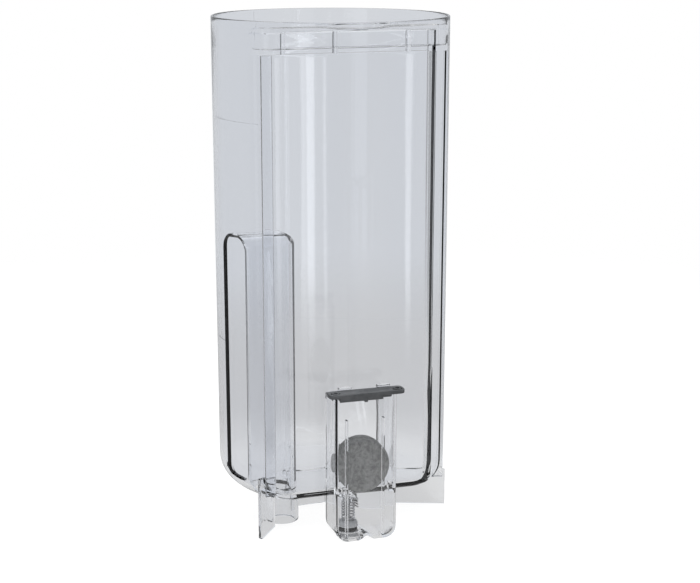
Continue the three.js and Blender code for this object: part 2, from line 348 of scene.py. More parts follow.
def arc(centre: Span, radius: float, start: float, stop: float, steps: int) -> list[tuple[float, float]]:
    """Lists points on an arc.

    Args:
        centre: The arc's centre.
        radius: Its radius.
        start: First angle in degrees.
        stop: Last angle in degrees.
        steps: Faces along it.

    Returns:
        The points.
    """
    turn = [math.radians(start + (stop - start) * i / steps) for i in range(steps + 1)]
    return [(centre[0] + radius * math.cos(t), centre[1] + radius * math.sin(t)) for t in turn]


def smooth_step(low: float, high: float, value: float) -> float:
    """Eases from 0 at low to 1 at high."""
    t = min(max((value - low) / (high - low), 0.0), 1.0)
    return t * t * (3 - 2 * t)


def soft_max(a: float, b: float, blend: float) -> float:
    """Takes the larger of two numbers, rounded over where they are within blend of each other."""
    h = max(blend - abs(a - b), 0.0) / blend
    return max(a, b) + h * h * blend / 4


# --------------------------------------------------------------------------------------------------
# Geometry Nodes
# --------------------------------------------------------------------------------------------------


class NodeTree:
    """A Geometry Nodes tree with named inputs, run once on an empty mesh."""

    def __init__(self, name: str) -> None:
        """Starts an empty tree that puts out geometry."""
        self.tree = bpy.data.node_groups.new(name, "GeometryNodeTree")
        self.tree.interface.new_socket("Geometry", in_out="OUTPUT", socket_type="NodeSocketGeometry")
        self.inputs = self.tree.nodes.new("NodeGroupInput")
        self.values: dict[str, float] = {}

    def size(self, name: str, value: float, kind: str = "NodeSocketFloat") -> bpy.types.NodeSocket:
        """Adds a named input.

        Args:
            name: The input's name.
            value: Its value.
            kind: The socket type.

        Returns:
            The socket inside the tree.
        """
        item = self.tree.interface.new_socket(name, in_out="INPUT", socket_type=kind)
        self.values[item.identifier] = value
        return self.inputs.outputs[name]

    def node(self, kind: str, settings: dict[str, object] | None = None,
             **sockets: object) -> bpy.types.Node:
        """Makes a node.

        Args:
            kind: The node type.
            settings: Properties that are set first.
            **sockets: Values or links, by socket name with spaces as underscores.

        Returns:
            The node.
        """
        made = self.tree.nodes.new(kind)
        for key, value in (settings or {}).items():
            setattr(made, key, value)
        for key, value in sockets.items():
            target = made.inputs[key.replace("_", " ")]
            if isinstance(value, bpy.types.NodeSocket):
                self.tree.links.new(value, target)
            else:
                target.default_value = value
        return made

    def run(self, name: str, geometry: bpy.types.NodeSocket, material: bpy.types.Material) -> Solid:
        """Finishes the tree and turns its result into a plain mesh object.

        Args:
            name: The object's name.
            geometry: The geometry to put out.
            material: The finish set on it.

        Returns:
            The object.
        """
        real = self.node("GeometryNodeRealizeInstances", Geometry=geometry)
        dressed = self.node("GeometryNodeSetMaterial", Geometry=real.outputs[0], Material=material)
        output = self.tree.nodes.new("NodeGroupOutput")
        self.tree.links.new(dressed.outputs[0], output.inputs[0])
        obj = bpy.data.objects.new(name, bpy.data.meshes.new(name))
        bpy.context.collection.objects.link(obj)
        modifier = obj.modifiers.new(name, "NODES")
        modifier.node_group = self.tree
        for identifier, value in self.values.items():
            modifier[identifier] = value
        return apply_modifiers(obj)


def row_of_blades(name: str, first: Point, step: Point, count: int, size: Point,
                  material: bpy.types.Material) -> Solid:
    """Makes a row of equal blades with Geometry Nodes.

    Args:
        name: The object's name.
        first: Centre of the first blade.
        step: From one blade's centre to the next.
        count: How many.
        size: Width, depth and height of one.
        material: Their finish.

    Returns:
        The blades as one mesh.
    """
    nodes = NodeTree(name)
    sizes = [nodes.size(label, value * MM) for label, value in zip(("Width", "Depth", "Height"), size)]
    number = nodes.size("Count", count, "NodeSocketInt")
    vector = nodes.node("ShaderNodeCombineXYZ", X=sizes[0], Y=sizes[1], Z=sizes[2])
    blade = nodes.node("GeometryNodeMeshCube", Size=vector.outputs[0], Vertices_Z=9)
    line = nodes.node("GeometryNodeMeshLine", Count=number, Start_Location=Vector(first) * MM,
                      Offset=Vector(step) * MM)
    placed = nodes.node("GeometryNodeInstanceOnPoints", Points=line.outputs[0], Instance=blade.outputs[0])
    return nodes.run(name, placed.outputs[0], material)


def coil(name: str, centre: Span, z: Span, radius: float, wire: float, turns: float,
         material: bpy.types.Material) -> Solid:
    """Winds a compression spring with Geometry Nodes.

    Args:
        name: The object's name.
        centre: X and Y of its axis.
        z: Heights of the lowest and highest wire centres.
        radius: From the axis to the wire's centre.
        wire: Radius of the wire.
        turns: Turns, the closed ones included.
        material: Its finish.

    Returns:
        The spring.
    """
    nodes = NodeTree(name)
    coil_radius = nodes.size("Coil radius", radius * MM)
    wire_radius = nodes.size("Wire radius", wire * MM)
    height = nodes.size("Height", (z[1] - z[0]) * MM)
    turn_count = nodes.size("Turns", turns)
    spiral = nodes.node("GeometryNodeCurveSpiral", Resolution=36, Rotations=turn_count,
                        Start_Radius=coil_radius, End_Radius=coil_radius, Height=height)
    section = nodes.node("GeometryNodeCurvePrimitiveCircle", Resolution=12, Radius=wire_radius)
    solid = nodes.node("GeometryNodeCurveToMesh", Curve=spiral.outputs[0], Profile_Curve=section.outputs[0],
                       Fill_Caps=True)
    smooth = nodes.node("GeometryNodeSetShadeSmooth", Geometry=solid.outputs[0])
    obj = nodes.run(name, smooth.outputs[0], material)
    obj.data.transform(Matrix.Translation(Vector((centre[0], centre[1], z[0])) * MM))
    return obj


# --------------------------------------------------------------------------------------------------
# Finishes
# --------------------------------------------------------------------------------------------------


class Value:
    """A shader socket that takes part in sums."""

    def __init__(self, shaders: "ShaderTree", socket: bpy.types.NodeSocket) -> None:
        """Wraps a socket of a tree."""
        self.shaders = shaders
        self.socket = socket

    def __add__(self, other: object) -> "Value":
        """Adds."""
        return self.shaders.maths("ADD", self, other)

    def __radd__(self, other: object) -> "Value":
        """Adds from the right."""
        return self.shaders.maths("ADD", other, self)

    def __sub__(self, other: object) -> "Value":
        """Takes away."""
        return self.shaders.maths("SUBTRACT", self, other)

    def __rsub__(self, other: object) -> "Value":
        """Is taken away from a number."""
        return self.shaders.maths("SUBTRACT", other, self)

    def __mul__(self, other: object) -> "Value":
        """Multiplies."""
        return self.shaders.maths("MULTIPLY", self, other)

    def __rmul__(self, other: object) -> "Value":
        """Multiplies from the right."""
        return self.shaders.maths("MULTIPLY", other, self)

    def __abs__(self) -> "Value":
        """Drops the sign."""
        return self.shaders.maths("ABSOLUTE", self)

    def __lt__(self, other: object) -> "Value":
        """Is 1 where it is less than the other, and 0 elsewhere."""
        return self.shaders.maths("LESS_THAN", self, other)

    def eased(self, low: float, high: float) -> "Value":
        """Maps low to 0 and high to 1, eased at both ends.

        Args:
            low: What becomes 0.
            high: What becomes 1.

        Returns:
            The mapped value.
        """
        return self.shaders.node("ShaderNodeMapRange", {"interpolation_type": "SMOOTHSTEP"},
                                 {"Value": self, "From Min": low, "From Max": high})


class ShaderTree:
    """A shader node tree under construction."""

    def __init__(self, tree: bpy.types.NodeTree) -> None:
        """Takes the tree of a material or of the world."""
        self.tree = tree

    def node(self, kind: str, settings: dict[str, object] | None = None,
             sockets: dict[str | int, object] | None = None, output: int | str = 0) -> Value:
        """Makes any node.

        Args:
            kind: The node type.
            settings: Properties, set first.
            sockets: Values or links of its inputs, by name or number.
            output: The output that is returned.

        Returns:
            The chosen output.
        """
        made = self.tree.nodes.new(kind)
        for key, value in (settings or {}).items():
            setattr(made, key, value)
        for key, value in (sockets or {}).items():
            self.feed(made.inputs[key], value)
        return Value(self, made.outputs[output])

    def feed(self, target: bpy.types.NodeSocket, value: object) -> None:
        """Links or sets one input.

        Args:
            target: The input.
            value: A Value or a plain number, colour or vector.
        """
        if isinstance(value, Value):
            self.tree.links.new(value.socket, target)
        else:
            target.default_value = value

    def maths(self, operation: str, *values: object) -> Value:
        """Adds one Math node."""
        return self.node("ShaderNodeMath", {"operation": operation}, dict(enumerate(values)))


class Finish(ShaderTree):
    """A procedural material under construction."""

    def __init__(self, name: str) -> None:
        """Starts a material with a Principled shader and Object coordinates."""
        self.material = bpy.data.materials.new(name)
        self.material.use_nodes = True
        super().__init__(self.material.node_tree)
        self.shader = self.tree.nodes["Principled BSDF"]
        self.position = self.node("ShaderNodeTexCoord", output="Object")

    def stretched(self, scale: Point) -> Value:
        """Object coordinates, scaled along each axis."""
        return self.node("ShaderNodeMapping", {}, {"Vector": self.position, "Scale": scale})

    def noise(self, per_metre: float, detail: float = 3, roughness: float = 0.55, distortion: float = 0,
              vector: Value | None = None) -> Value:
        """Cloud-like noise.

        Args:
            per_metre: Its scale.
            detail: Octaves.
            roughness: How strong the fine ones are.
            distortion: How much it swirls.
            vector: Coordinates other than the object's.

        Returns:
            The noise, about 0.3 to 0.7.
        """
        return self.node("ShaderNodeTexNoise", {}, {
            "Vector": vector or self.position, "Scale": per_metre, "Detail": detail, "Roughness": roughness,
            "Distortion": distortion})

    def blend(self, factor: Value, low: Colour | Value, high: Colour | Value) -> Value:
        """Blends two colours.

        Args:
            factor: 0 gives low and 1 gives high.
            low: A colour.
            high: A colour.

        Returns:
            The colour.
        """
        low, high = (colour if isinstance(colour, Value) else (*colour, 1) for colour in (low, high))
        return self.node("ShaderNodeMix", {"data_type": "RGBA"}, {0: factor, 6: low, 7: high}, 2)

    def bump(self, height: Value, depth: float, strength: float = 1) -> None:
        """Gives the surface relief.

        Args:
            height: The height, 0 to 1.
            depth: What 1 is in millimetres.
            strength: How much of it shows.
        """
        relief = self.node("ShaderNodeBump", {},
                           {"Height": height, "Distance": depth * MM, "Strength": strength})
        self.feed(self.shader.inputs["Normal"], relief)

    def set(self, **sockets: object) -> None:
        """Sets or links the shader's own sockets, by name with spaces as underscores."""
        for key, value in sockets.items():
            self.feed(self.shader.inputs[key.replace("_", " ")], value)


@dataclass(frozen=True)
class ClearPlastic:
    """Clear moulded plastic that bends light, with faint flow waves and a trace of haze."""

    name: str
    pale: Colour = (0.965, 0.97, 0.98)
    deep: Colour = (0.94, 0.948, 0.965)
    roughness: float = 0.015
    ior: float = 1.42
    wave_depth: float = 0.05

    def build(self) -> bpy.types.Material:
        """Makes the material."""
        finish = Finish(self.name)
        flow = finish.noise(14, 2, 0.5, vector=finish.stretched((1, 1, 0.22)))
        haze = finish.noise(900, 4, 0.65)
        finish.set(Base_Color=finish.blend(flow.eased(0.35, 0.65), self.deep, self.pale),
                   Roughness=self.roughness + haze.eased(0.55, 0.8) * (self.roughness * 2),
                   Transmission_Weight=1.0, IOR=self.ior)
        finish.bump(flow, self.wave_depth)
        return finish.material


@dataclass(frozen=True)
class Grain:
    """A noise that varies an opaque finish: its scale, octaves, strength of the fine ones, and swirl."""

    per_metre: float
    detail: float = 4
    roughness: float = 0.65
    swirl: float = 0

    def lay(self, finish: Finish, along: Point | None = None) -> Value:
        """Adds the noise to a finish, stretched along an axis where one is given."""
        return finish.noise(self.per_metre, self.detail, self.roughness, self.swirl,
                            finish.stretched(along) if along else None)


@dataclass(frozen=True)
class OpaqueFinish:
    """An opaque surface whose colour follows one grain and whose gloss and relief follow a finer one."""

    name: str
    dark: Colour
    light: Colour
    tone: Grain
    tone_range: Span
    roughness: float
    roughness_spread: float
    depth: float
    fine: Grain | None = None
    fine_range: Span = (0.3, 0.7)
    along: Point | None = None
    metallic: float = 0

    def build(self) -> bpy.types.Material:
        """Makes the material."""
        finish = Finish(self.name)
        tone = self.tone.lay(finish, self.along)
        fine = self.fine.lay(finish, self.along) if self.fine else tone
        finish.set(Base_Color=finish.blend(tone.eased(*self.tone_range), self.dark, self.light),
                   Roughness=self.roughness + fine.eased(*self.fine_range) * self.roughness_spread,
                   Metallic=self.metallic)
        finish.bump(fine, self.depth)
        return finish.material


@dataclass(frozen=True)
class MottledFloat:
    """Grey filled plastic with a mottled, swirled skin."""

    name: str = "mottled_grey_float"
    dark: Colour = (0.25, 0.25, 0.243)
    light: Colour = (0.5, 0.5, 0.488)

    def build(self) -> bpy.types.Material:
        """Makes the material."""
        finish = Finish(self.name)
        swirl = finish.noise(210, 5, 0.62, 1.6)
        specks = finish.noise(900, 4, 0.7)
        mottle = swirl * 0.65 + specks * 0.35
        finish.set(Base_Color=finish.blend(mottle.eased(0.38, 0.62), self.dark, self.light),
                   Roughness=0.5 + specks.eased(0.3, 0.7) * 0.2)
        finish.bump(mottle, 0.12, 0.5)
        return finish.material


SPARKED, CLOUD = Grain(2600, 3, 0.6), Grain(160, 3, 0.6)
CHARCOAL = OpaqueFinish("charcoal_cap_plastic", (0.05, 0.052, 0.054), (0.085, 0.087, 0.09), CLOUD, (0.3, 0.7),
                        0.45, 0.15, 0.03, SPARKED, (0.35, 0.7))
NATURAL_GREY = OpaqueFinish("natural_grey_plastic", (0.6, 0.61, 0.62), (0.7, 0.71, 0.72), CLOUD, (0.3, 0.7),
                            0.3, 0.15, 0.03, SPARKED, (0.35, 0.7))
SEAL_RUBBER = OpaqueFinish("seal_rubber", (0.018, 0.018, 0.019), (0.05, 0.05, 0.052), Grain(700), (0.45, 0.75),
                           0.6, 0.2, 0.03)
SPRING_WIRE = OpaqueFinish("drawn_spring_wire", (0.3, 0.3, 0.31), (0.55, 0.55, 0.56), Grain(3000, 3, 0.6),
                           (0.3, 0.7), 0.22, 0.2, 0.01, along=(1, 1, 6), metallic=1.0)
FERRITE = OpaqueFinish("pressed_ferrite", (0.02, 0.02, 0.022), (0.07, 0.07, 0.073), Grain(1800, 4, 0.7),
                       (0.4, 0.7), 0.45, 0.25, 0.02, metallic=0.4)


# --------------------------------------------------------------------------------------------------
# Sub-assemblies
# --------------------------------------------------------------------------------------------------


def dress(obj: Solid, material: bpy.types.Material, body: str, node: str) -> Solid:
    """Finishes a piece: its material, the body it rides on and the node it stands for.

    Args:
        obj: The piece.
        material: Its finish.
        body: The CAD body it moves with.
        node: The CAD node it replaces.

    Returns:
        The piece.
    """
    obj.data.materials.clear()
    obj.data.materials.append(material)
    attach(obj, body)
    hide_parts(node)
    log.info("%s: %d faces on %s", obj.name, len(obj.data.polygons), body)
    return obj


@dataclass
class Vessel:
    """The moulded shell: round wall, flat front, ledges, lip, pocket, socket and feet."""

    rim_radius: float = 60
    base_radius: float = 59.3
    height: float = 260
    wall: float = 2.3
    rim_wall: float = 1.4
    floor: float = 18
    base_round: float = 14
    panel: float = -34.5
    band: float = -41
    band_right: float = 39.6
    ledge: float = 244.4
    lip: float = 254.5
    lip_rise: float = 0.12
    corner: float = 1.5
    left_corner: float = 5
    corner_turn: float = 51
    corner_reach: float = 12
    fine_step: float = 0.6
    coarse_step: float = 2.0
    toe: float = 2.6
    front_fade: Span = (-30, -33.5)
    bow: float = 3.2
    bow_x: Span = (-24, -46.5)
    edge: float = 0.8
    strip_tip: float = 49.4
    strip_root: float = 41
    strip_forward: float = 2.6
    strip_thick: float = 2.5
    left_tip: float = 46.6
    left_thick: float = 1.2
    fin_rise: float = 6
    foot_thick: float = 2
    foot_edge: float = 0.4
    foot_line: Plan = field(default_factory=lambda: [(-17, 4.6), (-1.4, 5.7), (58.2, -15.9)])
    rear_foot: tuple[float, float, float] = (14, 0.2, 44)
    pocket_x: Span = (-70, -25.5)
    pocket_y: Span = (-27, -7)
    pocket_top: float = 154.5
    pocket_wall: float = 2
    pocket_round: float = 5.5
    pocket_arch: float = 8
    mouth_bottom: float = 28
    mouth_round: float = 3.2
    mouth_back_share: float = 0.25
    mouth_corner: float = 4
    socket_centre: Span = (-32, -15)
    socket_radius: float = 8.75
    socket_wall: float = 1.8
    socket_bottom: float = 1.5
    window_x: Span = (-10, 14)
    window_z: Span = (22.5, 70)
    gussets: tuple[float, ...] = (-36.8, -10.9, 26.2, 37.3)
    bead: float = 0.45
    hairline: float = 0.14
    hairlines: tuple[tuple[Span, Span], ...] = (
        ((115.6, 115.6), (211, 259)), ((180, 217), (211, 211)), ((178, 200), (98, 98)))
    gusset_width: float = 1.6

    def angles(self) -> list[float]:
        """Directions of the plan's points, closer together at the panel's two corners."""
        turns: list[float] = []
        place = 0.0
        while place < 360:
            turns.append(math.radians(place))
            off_corner = abs(abs(place - 270) - self.corner_turn)
            place += self.fine_step if off_corner < self.corner_reach else self.coarse_step
        return turns

    def ring(self, radius: float, front: float, z_front: Callable[[float], float] | float, z_back: float,
             inset: float = 0, scale: float = 1) -> list[Point]:
        """Outlines the vessel at one step of its skin.

        Args:
            radius: The round wall's radius here.
            front: Y of the flat front, or below minus the radius for a full circle.
            z_front: Height of the front part, or a function of Y that gives it.
            z_back: Height of the rest.
            inset: How far the band's right end moves with the wall.
            scale: Shrinks the ring towards the axis, for a floor.

        Returns:
            The points.
        """
        points: list[Point] = []
        for turn in self.angles():
            x, circle_y = radius * math.cos(turn), radius * math.sin(turn)
            flat = front
            if front < self.panel + self.wall - 1:
                past_band = smooth_step(self.band_right + inset - 0.6, self.band_right + inset + 0.9, x)
                flat = front * (1 - past_band) - radius * past_band
            elif front < self.panel + 8:
                flat = front - self.bow * smooth_step(*self.bow_x, x)
            y = soft_max(circle_y, flat, self.corner if x > 0 else self.left_corner)
            share = smooth_step(*self.front_fade, circle_y)
            level = z_front(y) if callable(z_front) else z_front
            points.append((x * scale, y * scale, z_back + (level - z_back) * share))
        return points

    def side(self, inset: float) -> list[list[Point]]:
        """Lists the rings of one face of the wall, from the floor up.

        Args:
            inset: 0 for the outside and the wall's thickness for the inside.

        Returns:
            The rings.
        """
        radius, around = self.base_radius - inset, self.base_round - inset
        bottom, panel, band = self.floor + inset, self.panel + inset, self.band + inset
        ledge, lip = self.ledge + inset, self.lip + inset
        edge = self.edge
        toe = self.toe - inset * 0.4
        inner = radius - around
        rings = [self.ring(inner, panel + toe, bottom, bottom, inset, share) for share in (0.3, 0.65)]
        for reach, z in arc((inner, bottom + around), around, 270, 360, 10):
            rise = min(max(0.0, bottom + toe - z), toe)
            front = panel + toe - math.sqrt(toe * toe - rise * rise)
            rings.append(self.ring(reach, front, z, z, inset))
        start = bottom + around

        def wall_radius(z: float) -> float:
            """Radius of the drafted wall at a height."""
            drafted = radius + (self.rim_radius - self.base_radius) * (z - start) / (self.height - start)
            thinned = (self.wall - self.rim_wall) * smooth_step(self.ledge - 12, self.height - 2, z)
            return drafted + thinned if inset else drafted

        rings += [self.ring(wall_radius(z), panel, z, z, inset)
                  for z in (start + 1.5, *(start + (ledge - edge - start) * i / 8 for i in range(1, 8)),
                            ledge - edge - 1.5, ledge - edge)]
        steps = [*arc((panel - edge, ledge - edge), edge, 0, 90, 3)[1:],
                 *arc((band + edge, ledge + edge), edge, 270, 180, 3),
                 (band, (ledge + lip) / 2), (band, lip - edge),
                 *arc((band - edge, lip - edge + self.lip_rise * edge), edge, 0, 90, 3)[1:]]
        span = self.height - 2.4 - (ledge - edge) if inset == 0 else self.height - 1.2 - (ledge - edge)
        total = len(steps) + 6
        for number, (front, level) in enumerate(steps, 1):
            back = ledge - edge + span * number / total
            rings.append(self.ring(wall_radius(back), front, level, back, inset))

        def under_lip(y: float) -> float:
            """Height of the lip's sloped face at a distance in front of the band."""
            return lip + self.lip_rise * (band - y)

        for number, share in enumerate((0.2, 0.4, 0.6, 0.8, 1.0), len(steps) + 1):
            back = ledge - edge + span * number / total
            front = band - edge - share * (radius + band)
            rings.append(self.ring(wall_radius(back), front, under_lip, back, inset))
        return rings

    def shell(self) -> Solid:
        """Makes the bare vessel."""
        outer, inner = self.side(0), self.side(self.wall)
        round_over = self.rim_wall / 2 - 0.05
        rim = []
        for middle, start in ((self.rim_radius - round_over, 0),
                              (self.rim_radius - self.rim_wall + round_over, 90)):
            for radius, z in arc((middle, self.height - round_over), round_over, start, start + 90, 4):
                rim.append(self.ring(radius, -self.rim_radius - 1, z, z))
        return skin("water_tank_shell", outer + rim + inner[::-1], (0, 0, self.floor),
                    (0, 0, self.floor + self.wall))

    def strip(self, side: int, z: Span) -> Solid:
        """Makes one guide strip.

        Args:
            side: -1 for left and 1 for right.
            z: Its bottom and top.

        Returns:
            The strip.
        """
        half = self.strip_thick / 2
        root = Vector((side * self.strip_root, self.panel + half - 0.2))
        tip = Vector((side * self.strip_tip, self.panel - self.strip_forward + half))
        if side < 0 and z[0] > 0:
            half = self.left_thick / 2
            root = Vector((-self.strip_root, self.panel - self.bow + 0.4))
            tip = Vector((-self.left_tip, self.panel - self.bow - 0.7))
        return soften(plate("strip", root, tip, half, z), half * 0.4, 3)

    def feet(self) -> list[Solid]:
        """Makes the fin, the foot plates and the socket tube."""
        fin = self.strip(-1, (0, self.floor + self.base_round))
        corner = side_prism("corner", [(-60, -5), (-20, -5), (-20, 0), (-60, 0)], (-60, -30))
        combine(fin, corner, Join.CUT)
        left, right = -self.strip_root - 8, -self.strip_root + 9
        slope = prism("slope", [(left, -60), (right, -60), (right, -20), (left, -20)], (-10, 0))
        turn = math.atan2(self.fin_rise, self.strip_tip - self.strip_root)
        pivot = Matrix.Translation(Vector((-self.strip_tip + 1.2, 0, 0)) * MM)
        slope.data.transform(pivot @ Matrix.Rotation(-turn, 4, "Y") @ pivot.inverted())
        combine(fin, slope, Join.CUT)
        solids = [fin]
        half, edge = self.foot_thick / 2, self.foot_edge
        z = (0, self.floor + self.wall - 0.8)
        for start, stop in zip(map(Vector, self.foot_line), map(Vector, self.foot_line[1:])):
            along = (stop - start).normalized() * half
            solids.append(soften(plate("foot", start - along, stop + along * 0.2, half, z), edge))
        x, y0, y1 = self.rear_foot
        solids.append(soften(prism("rear", rounded_plan((x - half, x + half), (y0, y1), edge, 3), z), edge))
        profile = [(0, self.socket_bottom),
                   *arc((self.socket_radius - 0.6, self.socket_bottom + 0.6), 0.6, -90, 0, 3),
                   (self.socket_radius, self.floor + 0.5), (0, self.floor + 0.5)]
        solids.append(turned("socket", profile, self.socket_centre, 72))
        return solids

    def pocket(self, inset: float) -> Solid:
        """Makes the pocket's outside, or its hollow.

        Args:
            inset: 0 for the outside and the wall's thickness for the hollow.

        Returns:
            The solid.
        """
        bottom = self.floor + (self.pocket_wall if inset else 0.5)
        around, arch = self.pocket_round - inset, self.pocket_arch - inset
        (x0, x1), (y0, y1) = ((low + inset, high - inset) for low, high in (self.pocket_x, self.pocket_y))
        top = self.pocket_top - inset
        solid = rounded_block("pocket", (x0, x1), (y0, y1), (bottom, top), around, around)
        outline = [(y0, 0), (y1, 0), *arc((y1 - arch, top - arch), arch, 0, 90, 8),
                   *arc((y0 + arch, top - arch), arch, 90, 180, 8)]
        combine(solid, side_prism("arch", outline, (x0, x1 + 1)), Join.KEEP)
        depth = self.wall if inset else self.wall / 2
        radius, foot, base = self.base_radius - depth, self.base_round - depth, self.floor + depth
        profile = [(0, base), *arc((radius - foot, base + foot), foot, -90, 0, 10), (radius + 0.4, self.height),
                   (0, self.height)]
        return combine(solid, turned("within", profile, sides=180), Join.KEEP)

    def ridge(self, name: str, path: Sequence[Point], half: float) -> Solid:
        """Makes a thin ridge along a path on the round wall.

        Args:
            name: The object's name.
            path: The points it runs through.
            half: Half its width.

        Returns:
            The ridge.
        """
        rings = []
        for here, there in zip(path, [*path[1:], None]):
            along = (Vector(there) - Vector(here)).normalized() if there else along
            out = Vector((here[0], here[1], 0)).normalized()
            side = along.cross(out).normalized()
            corners = [side * math.cos(t) + out * math.sin(t) for t in (math.tau * i / 8 for i in range(8))]
            rings.append([tuple(Vector(here) + corner * half) for corner in corners])
        return skin(name, rings)

    def ridges(self) -> list[Solid]:
        """Makes the bead along the lip's front edge and the mould's parting lines."""
        radius = self.rim_radius - 0.25
        reach = [math.degrees(math.asin(x / radius)) for x in (self.band + 0.5 - 4, self.band_right)]
        turns = [math.radians(270 + reach[0] + (reach[1] - reach[0]) * i / 40) for i in range(41)]
        edge = [(radius * math.cos(t), radius * math.sin(t),
                 self.lip + self.lip_rise * (self.band - radius * math.sin(t))) for t in turns]
        solids = [self.ridge("bead", edge, self.bead)]
        for (a0, a1), (z0, z1) in self.hairlines:
            path = []
            for share in (i / 36 for i in range(37)):
                turn, z = math.radians(a0 + (a1 - a0) * share), z0 + (z1 - z0) * share
                out = self.base_radius + (self.rim_radius - self.base_radius) * (z - 32) / (self.height - 32)
                path.append((out * math.cos(turn), out * math.sin(turn), z))
            solids.append(self.ridge("hairline", path, self.hairline))
        return solids

    def pocket_mouth(self) -> Solid:
        """Makes the cutter that opens the pocket through the round wall, flared so that its edge is round."""
        flare, arch, low = self.mouth_round, self.pocket_arch - self.pocket_wall, self.mouth_corner
        y0, y1 = self.pocket_y[0] + self.pocket_wall, self.pocket_y[1] - self.pocket_wall
        top = self.pocket_top - self.pocket_wall
        rings = []
        for depth in (-2.0, *(flare * (1 - math.cos(math.pi / 2 * i / 6)) for i in range(7)), 9.0):
            within = min(max(depth, 0.0), flare)
            grown = flare - math.sqrt(flare ** 2 - (flare - within) ** 2)
            slight = grown * self.mouth_back_share
            outline = [*arc((y1 - arch, top - arch), arch + slight, 0, 90, 8),
                       *arc((y0 + arch, top - arch), arch + grown, 90, 180, 8),
                       *arc((y0 + low, self.mouth_bottom + low), low + grown, 180, 270, 6),
                       *arc((y1 - low, self.mouth_bottom + low), low + slight, 270, 360, 6)]
            rings.append([(depth - math.sqrt(self.base_radius ** 2 - y * y), y, z) for y, z in outline])
        return skin("mouth", rings)

    def build(self, material: bpy.types.Material) -> Solid:
        """Makes the whole moulding.

        Args:
            material: Its clear plastic.

        Returns:
            The piece.
        """
        obj = self.shell()
        for solid in self.feet():
            combine(obj, solid, Join.ADD)
        for side in (-1, 1):
            combine(obj, self.strip(side, (self.floor + 5, self.ledge - 0.6)), Join.ADD)
        blade = (self.gusset_width, 3.6, self.lip - self.ledge + 1)
        for x in self.gussets:
            centre = (x, self.band - 1.2, (self.lip + self.ledge) / 2 + 0.6)
            combine(obj, row_of_blades("gusset", centre, (0, 0, 1), 1, blade, material), Join.ADD)
        for solid in self.ridges():
            combine(obj, solid, Join.ADD)
        combine(obj, self.pocket(0), Join.ADD)
        combine(obj, self.pocket(self.pocket_wall), Join.CUT)
        combine(obj, self.pocket_mouth(), Join.CUT)
        bore = self.socket_radius - self.socket_wall
        combine(obj, turned("bore", [(0, 0), (bore, 0), (bore, self.floor + 6), (0, self.floor + 6)],
                            self.socket_centre, 72), Join.CUT)
        window = rounded_block("window", self.window_x, (self.panel - 5, self.panel + 6), self.window_z, 0.1)
        combine(obj, window, Join.CUT)
        return dress(shade(obj), material, "tank", "tank_shell")


